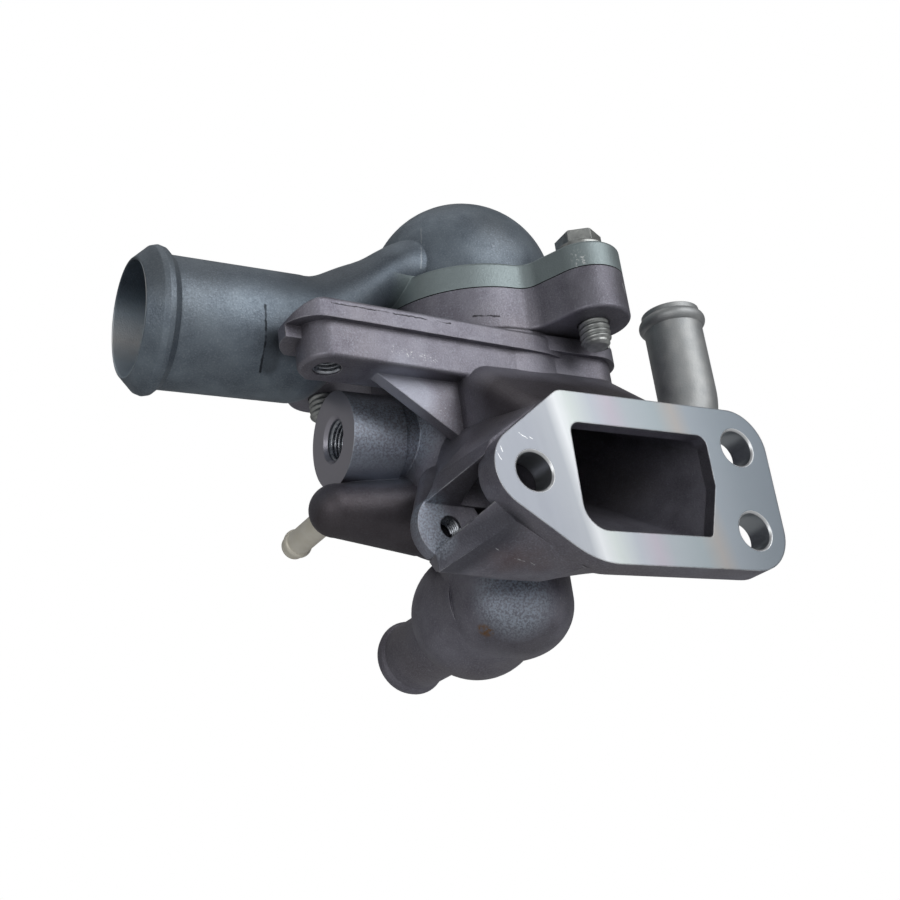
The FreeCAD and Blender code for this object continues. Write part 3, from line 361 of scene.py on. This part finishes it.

# The hose side of the bore is smooth and pale, with painted light in its middle and painted shade towards its
# foot and its top
bore = in_bore(tree, place, (0, 1, 1), (0, 54, 55.3), 14.3)
hose_side = add(tree, "ShaderNodeMath", {0: x, 1: -0.0620}, operation="LESS_THAN").outputs[0]
bore_light_and_shade = banded(tree, z, 42.5, 68.0, (
    (0.0, "#a3b1bd"), (0.30, "#e2eef8"), (0.55, "#ffffff"), (0.80, "#c3cfd9"), (0.92, "#7c8894"),
    (1.0, "#59636d")))
colour = blended(tree, colour, bore_light_and_shade, bore, hose_side)

# The mould's parting line on the dome
ragged = wandering(tree, place, 1.5, 0.25)
parting = marks(tree, ragged, ((-26.0, 40.0, 85.8), (-26.9, 39.1, 82.0), (-27.8, 38.4, 78.4),
                               (-28.5, 37.9, 74.9), (-28.6, 38.4, 72.2)), 0.24)
colour = blended(tree, colour, "#c8ced2", parting, 0.30)

# The fold where the spigot meets the rougher neck, and painted shade on its right
right_of_fold = add(tree, "ShaderNodeMath", {0: x, 1: -0.0724}, operation="GREATER_THAN").outputs[0]
colour = blended(tree, colour, "#31363c", mark(tree, place, (-70.6, 40.0, 46.8), (-70.2, 45.0, 42.2), 3.2),
                 right_of_fold, 0.50)
fold = marks(tree, ragged, ((-73.0, 37.8, 54.2), (-72.7, 39.0, 49.3), (-72.4, 41.3, 45.4),
                            (-72.4, 44.0, 42.7), (-71.9, 46.4, 41.0)), 0.38)
colour = blended(tree, colour, "#25292e", fold, 0.85)

# Bright specks on the rim of the front ear
colour = blended(tree, colour, "#d5dada", mark(tree, place, (1.5, 12.2, 66.0), (2.3, 12.0, 63.6), 2.2),
                 noise(tree, place, 0.7, 0.55, 0.62))
finish_metal(tree, shader, colour, roughness, height, rounded, 0.05)
finish_node("outlet_cover", cover_cast)

# Cover bolts
# Three flanged hexagon bolts of zinc-plated steel, headed hot and with a rolled thread, clamp the cover. The
# zinc has dulled to a warm grey, and the rounded crests of the thread shine below the ears. Each ear is given
# by its angle round the cover's axis in degrees and its distance from that axis.

cover_axis_mm = (-7.5, 54.0)
cover_top_mm = 70.0
ears = ((-65.6, 38.1), (147.1, 40.7), (41.0, 38.5))
bolt_length_mm = 25.6
bolt_thread_pitch_mm = 1.5
head_flats_mm = 10.5
head_foot_mm = 2.2
head_height_mm = 3.7
crown_height_mm = 0.7
crown_share = 0.84
head_turn = math.radians(-62)


def spun(mesh, outline_mm, steps=48):
    """Turns an outline of radius and height round the vertical axis."""
    points = [mesh.verts.new((radius / 1000, 0, height / 1000)) for radius, height in outline_mm]
    edges = [mesh.edges.new(pair) for pair in zip(points, points[1:])]
    bmesh.ops.spin(mesh, geom=points + edges, cent=(0, 0, 0), axis=(0, 0, 1), angle=math.tau, steps=steps,
                   use_merge=True)


def thread(mesh, root_mm, crest_mm, pitch_mm, start_mm, turns, steps=28):
    """Rolls a rounded thread ridge round the vertical axis, from a start height upwards."""
    half = pitch_mm / 2
    shoulder_mm = crest_mm - (crest_mm - root_mm) * 0.15
    shape = ((root_mm, -half), (shoulder_mm, -half * 0.42), (crest_mm, 0), (shoulder_mm, half * 0.42),
             (root_mm, half))
    points = [mesh.verts.new((radius / 1000, 0, (start_mm + height) / 1000)) for radius, height in shape]
    face = mesh.faces.new(points)
    bmesh.ops.spin(mesh, geom=[face], cent=(0, 0, 0), axis=(0, 0, 1), angle=math.tau * turns,
                   dvec=(0, 0, pitch_mm / 1000 / steps), steps=steps * turns)


def new_piece(name, mesh, material, place=Matrix.Identity(4), smooth_below=35):
    """Makes an object of a bmesh, moved to its place, with faces pointing outwards and soft shading."""
    bmesh.ops.transform(mesh, matrix=place, verts=mesh.verts)
    bmesh.ops.remove_doubles(mesh, verts=mesh.verts, dist=0.000001)
    bmesh.ops.recalc_face_normals(mesh, faces=mesh.faces)
    data = bpy.data.meshes.new(name)
    mesh.to_mesh(data)
    mesh.free()
    data.materials.append(material)
    piece = bpy.data.objects.new(name, data)
    bpy.context.scene.collection.objects.link(piece)
    data.shade_smooth()
    data.set_sharp_from_angle(angle=math.radians(smooth_below))
    return piece


def zinc_or_drawn(name, dark, light, roughness, cloud_mm=4.0, metallic=1.0):
    """Plated or drawn metal: two close greys in soft clouds, with a fine unevenness in its shine.

    The unevenness is drawn at 0.4 mm, coarser than it is, so that it shows.
    """
    material, tree, shader, place = new_material(name, metallic, roughness)
    colour = blended(tree, dark, light, noise(tree, place, cloud_mm))
    fine = noise(tree, place, 0.4)
    shine = add(tree, "ShaderNodeMapRange", {"Value": fine, "To Min": roughness + 0.05,
                                             "To Max": roughness - 0.05}).outputs[0]
    rounded = add(tree, "ShaderNodeBevel", {"Radius": 0.00025}, samples=4).outputs[0]
    finish_metal(tree, shader, colour, shine, fine, rounded, 0.02)
    return material


bolt_zinc = zinc_or_drawn("dulled_zinc_steel", "#9a9d9c", "#bfc2c0", 0.40, 2.0)
bolts = bmesh.new()
for ear_angle, ear_distance_mm in ears:
    bolt = bmesh.new()
    spun(bolt, ((0, 0), (6.8, 0), (6.8, 2.1), (6.5, 2.4), (5.2, 3.1), (4.9, 3.2), (0, 3.2)))
    spun(bolt, ((0, -bolt_length_mm), (2.7, -bolt_length_mm), (3.4, -bolt_length_mm + 0.7), (3.4, -9.0),
                (3.9, -8.5), (3.9, 0.5), (0, 0.5)))
    thread(bolt, 3.35, 4.0, bolt_thread_pitch_mm, -bolt_length_mm + 0.9, 10)
    hexagon = bmesh.ops.create_circle(bolt, cap_ends=True, segments=6,
                                      radius=head_flats_mm / math.sqrt(3) / 1000,
                                      matrix=Matrix.Rotation(head_turn, 4, "Z"))
    foot = next(face for face in bolt.faces if len(face.verts) == 6)
    bmesh.ops.translate(bolt, vec=(0, 0, head_foot_mm / 1000), verts=hexagon["verts"])
    head = bmesh.ops.extrude_face_region(bolt, geom=[foot])["geom"]
    head_points = [item for item in head if isinstance(item, bmesh.types.BMVert)]
    bmesh.ops.translate(bolt, vec=(0, 0, head_height_mm / 1000), verts=head_points)
    top = next(item for item in head if isinstance(item, bmesh.types.BMFace))
    crown = bmesh.ops.extrude_face_region(bolt, geom=[top])["geom"]
    crown_points = [item for item in crown if isinstance(item, bmesh.types.BMVert)]
    bmesh.ops.scale(bolt, vec=(crown_share, crown_share, 1), verts=crown_points)
    bmesh.ops.translate(bolt, vec=(0, 0, crown_height_mm / 1000), verts=crown_points)
    turn = math.radians(ear_angle)
    seat = Vector((cover_axis_mm[0] + ear_distance_mm * math.cos(turn),
                   cover_axis_mm[1] + ear_distance_mm * math.sin(turn), cover_top_mm)) / 1000
    bmesh.ops.translate(bolt, vec=seat, verts=bolt.verts)
    one_bolt = bpy.data.meshes.new("one_bolt")
    bolt.to_mesh(one_bolt)
    bolt.free()
    bolts.from_mesh(one_bolt)
    bpy.data.meshes.remove(one_bolt)
bolt_piece = new_piece("threaded_cover_bolts", bolts, bolt_zinc)
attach(bolt_piece, "housing")
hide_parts("cover_bolts")

# Hole of the lug
# The lug's hole is drilled from its face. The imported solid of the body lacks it, so a copy of the body is
# drilled here and takes the body's place.

lug_face_mm = (-41.1, 20.0, -6.1)
lug_hole_radius_mm = 2.6
lug_hole_depth_mm = 6.0
drill_overrun_mm = 1.0

body_shape = bmesh.new()
body_shape.from_mesh(nodes["housing_body"].data)
drilled_body = new_piece("drilled_housing_body", body_shape, body_cast, nodes["housing_body"].matrix_world)
face_x, face_y, face_z = lug_face_mm
drill_middle_mm = (face_x, face_y + (lug_hole_depth_mm - drill_overrun_mm) / 2, face_z)
drill_place = Matrix.Translation([middle / 1000 for middle in drill_middle_mm])
drill_shape = bmesh.new()
bmesh.ops.create_cone(drill_shape, cap_ends=True, segments=48, radius1=lug_hole_radius_mm / 1000,
                      radius2=lug_hole_radius_mm / 1000, depth=(lug_hole_depth_mm + drill_overrun_mm) / 1000,
                      matrix=drill_place @ Matrix.Rotation(math.pi / 2, 4, "X"))
drill = new_piece("drill", drill_shape, body_cast)
cut = drilled_body.modifiers.new("cut", "BOOLEAN")
cut.operation = "DIFFERENCE"
cut.solver = "EXACT"
cut.object = drill
drilled_shape = bpy.data.meshes.new_from_object(
    drilled_body.evaluated_get(bpy.context.evaluated_depsgraph_get()))
drilled_body.modifiers.clear()
drilled_body.data = drilled_shape
bpy.data.objects.remove(drill)

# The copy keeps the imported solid's soft shading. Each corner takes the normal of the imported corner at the
# same place on a face that looks the same way, and a corner of the hole takes that of its own face.
same_place = 0.000003
same_way = 0.99
packed = nodes["housing_body"].data
packed_place = nodes["housing_body"].matrix_world
packed_turn = packed_place.to_3x3()
packed_corners = KDTree(len(packed.loops))
packed_normals = []
for face in packed.polygons:
    face_normal = (packed_turn @ face.normal).normalized()
    for corner in face.loop_indices:
        point = packed_place @ packed.vertices[packed.loops[corner].vertex_index].co
        corner_normal = (packed_turn @ packed.corner_normals[corner].vector).normalized()
        packed_corners.insert(point, len(packed_normals))
        packed_normals.append((face_normal, corner_normal))
packed_corners.balance()
soft_normals = []
for face in drilled_shape.polygons:
    for corner in face.loop_indices:
        point = drilled_shape.vertices[drilled_shape.loops[corner].vertex_index].co
        most_alike, soft_normal = same_way, face.normal
        for _, number, _ in packed_corners.find_range(point, same_place):
            face_normal, corner_normal = packed_normals[number]
            alike = face_normal.dot(face.normal)
            if alike > most_alike:
                most_alike, soft_normal = alike, corner_normal
        soft_normals.append(soft_normal.copy())
drilled_shape.shade_smooth()
drilled_shape.normals_split_custom_set(soft_normals)
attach(drilled_body, "housing")
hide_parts("housing_body")

# Threads cut in the casting
# The sensor boss, the arm and the lug are drilled and tapped. The cutting leaves bright sharp ridges in the
# holes. Each row has the hole's radius, and the ridge's depth, pitch and turns, in mm.

cut_thread = zinc_or_drawn("tapped_aluminium", "#9ba0a8", "#d0d4da", 0.30, 1.5)
to_right = Matrix.Rotation(math.radians(90), 4, "Y")
to_back = Matrix.Rotation(math.radians(-90), 4, "X")
for name, hole_radius, depth, pitch, turns, mouth_mm, from_up in (
    ("sensor_port_thread", 5.2, 0.6, 1.0, 16, (-50.0, 54.0, 28.5), to_right),
    ("arm_hole_thread", 3.4, 0.5, 1.0, 7, (-61.8, 31.2, 35.5), Matrix.Identity(4)),
    ("lug_hole_thread", lug_hole_radius_mm, 0.4, 0.8, 5, lug_face_mm, to_back),
):
    ridge = bmesh.new()
    thread(ridge, hole_radius + 0.04, hole_radius - depth, pitch, pitch * 0.7, turns)
    ridge_place = Matrix.Translation(Vector(mouth_mm) / 1000) @ from_up
    ridge_piece = new_piece(name, ridge, cut_thread, ridge_place)
    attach(ridge_piece, "housing")

# Heater pipe
# A bent steel tube, plated and satin, pressed into the housing on the right.
# Its end is rolled into a hose bead.

finish_node("heater_pipe", zinc_or_drawn("satin_plated_tube", "#a9acae", "#bbbdbd", 0.54))

# Return pipe
# A small zinc-plated tube, yellowed, pressed into the return boss.
# It leaves the boss to the back.

finish_node("return_pipe", zinc_or_drawn("yellow_zinc_tube", "#f0ebdb", "#faf6ea", 0.50, metallic=0.5))

# Regulator insert
# A wax regulator of pressed and turned parts: stainless plate, bridge and stirrup, brass capsule, drawn
# springs and a moulded rubber ring. The cover clamps it, and it shows only through the port and the hoses.

stainless = zinc_or_drawn("pressed_stainless", "#8c8e90", "#a8aaac", 0.32)
for name in ("seat_plate", "upper_bridge", "lower_stirrup", "valve_plate", "bypass_disc"):
    finish_node(name, stainless)
wire = zinc_or_drawn("drawn_spring_wire", "#6f7173", "#8e9092", 0.30, 2.0)
for name in ("main_spring", "bypass_spring"):
    finish_node(name, wire)

# Each spring is copied into a piece of its own that rides with its body, and the imported spring is hidden.
# The joint, fixed end and travel of each are given, but nothing here squeezes it as its slide travels. Both
# stand on the cover's axis.
for name, body, joint, fixed_end_mm, travel_mm in (
    ("main_spring", "housing", "valve_slide", 36.85, 9.0),
    ("bypass_spring", "valve", "bypass_slide", 32.75, 2.5),
):
    coil = bmesh.new()
    coil.from_mesh(nodes[name].data)
    spring = new_piece("squeezed_" + name, coil, wire, nodes[name].matrix_world)
    if "custom_normal" in spring.data.attributes:
        spring.data.attributes.remove(spring.data.attributes["custom_normal"])
    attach(spring, body)
    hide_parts(name)
    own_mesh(spring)

ground = zinc_or_drawn("ground_steel", "#8f9091", "#adaeaf", 0.24)
for name in ("piston_pin", "lock_ring", "retainer_clip"):
    finish_node(name, ground)
brass = zinc_or_drawn("turned_brass", "#9c7b3c", "#bf9c55", 0.28)
for name in ("wax_capsule", "jiggle_pin"):
    finish_node(name, brass)

rubber, tree, shader, place = new_material("moulded_black_rubber", 0.0, 0.6)
dull_black = blended(tree, "#161616", "#242424", noise(tree, place, 3.0))
tree.links.new(dull_black, shader.inputs["Base Color"])
finish_node("seal_ring", rubber)

# Studio
# A white world behind, seen as white only by the camera, and a pale paper floor well below. One large soft
# lamp stands in front on the right, a weaker one on the left and a weak one overhead, and the world gives a
# low even light.


def lamp(name, place, size, power):
    """Square soft lamp that looks at the middle of the housing."""
    data = bpy.data.lights.new(name, "AREA")
    data.shape = "SQUARE"
    data.size = size
    data.energy = power
    light = bpy.data.objects.new(name, data)
    bpy.context.scene.collection.objects.link(light)
    light.location = place
    light.rotation_mode = "QUATERNION"
    way = Vector((-0.02, 0.04, 0.03)) - Vector(place)
    light.rotation_quaternion = way.to_track_quat("-Z", "Y")


lamp("front_lamp", (0.30, -0.80, 0.42), 0.8, 4.3)
lamp("left_lamp", (-0.72, -0.62, -0.02), 0.6, 2.2)
lamp("top_lamp", (-0.10, 0.10, 0.95), 0.6, 0.6)

world = bpy.data.worlds.new("studio_white")
bpy.context.scene.world = world
world.use_nodes = True
tree = world.node_tree
background = tree.nodes["Background"]
background.inputs["Color"].default_value = (1.0, 1.0, 1.0, 1.0)
from_camera = add(tree, "ShaderNodeLightPath").outputs["Is Camera Ray"]
strength = add(tree, "ShaderNodeMapRange", {"Value": from_camera, "To Min": 0.18, "To Max": 1.0}).outputs[0]
tree.links.new(strength, background.inputs["Strength"])

floor_height = -0.14
floor_shape = bmesh.new()
bmesh.ops.create_grid(floor_shape, x_segments=1, y_segments=1, size=1.5,
                      matrix=Matrix.Translation((0, 0, floor_height)))
paper, tree, shader, place = new_material("matte_white_paper", 0.0, 0.9)
pale_grey = blended(tree, "#e6e6e6", "#ebebeb", noise(tree, place, 30.0))
tree.links.new(pale_grey, shader.inputs["Base Color"])
new_piece("floor", floor_shape, paper)

# The photo's camera, fitted to the flange and the spigot. It looks up from below on the left.
camera_data = bpy.data.cameras.new("camera")
camera_data.lens = 52.654
camera_data.sensor_width = 36.0
camera_data.clip_start = 0.01
camera = bpy.data.objects.new("camera", camera_data)
bpy.context.scene.collection.objects.link(camera)
camera.location = (-0.18299, -0.21460, -0.09929)
camera.rotation_mode = "QUATERNION"
azimuth, elevation, roll = (math.radians(angle) for angle in (-31.6, -22.09, -7.75))
back = Vector((math.sin(azimuth) * math.cos(elevation), -math.cos(azimuth) * math.cos(elevation),
               math.sin(elevation)))
camera.rotation_quaternion = (-back).to_track_quat("-Z", "Y") @ Quaternion((0, 0, 1), roll)
bpy.context.scene.camera = camera
bpy.context.scene.view_settings.view_transform = "Standard"
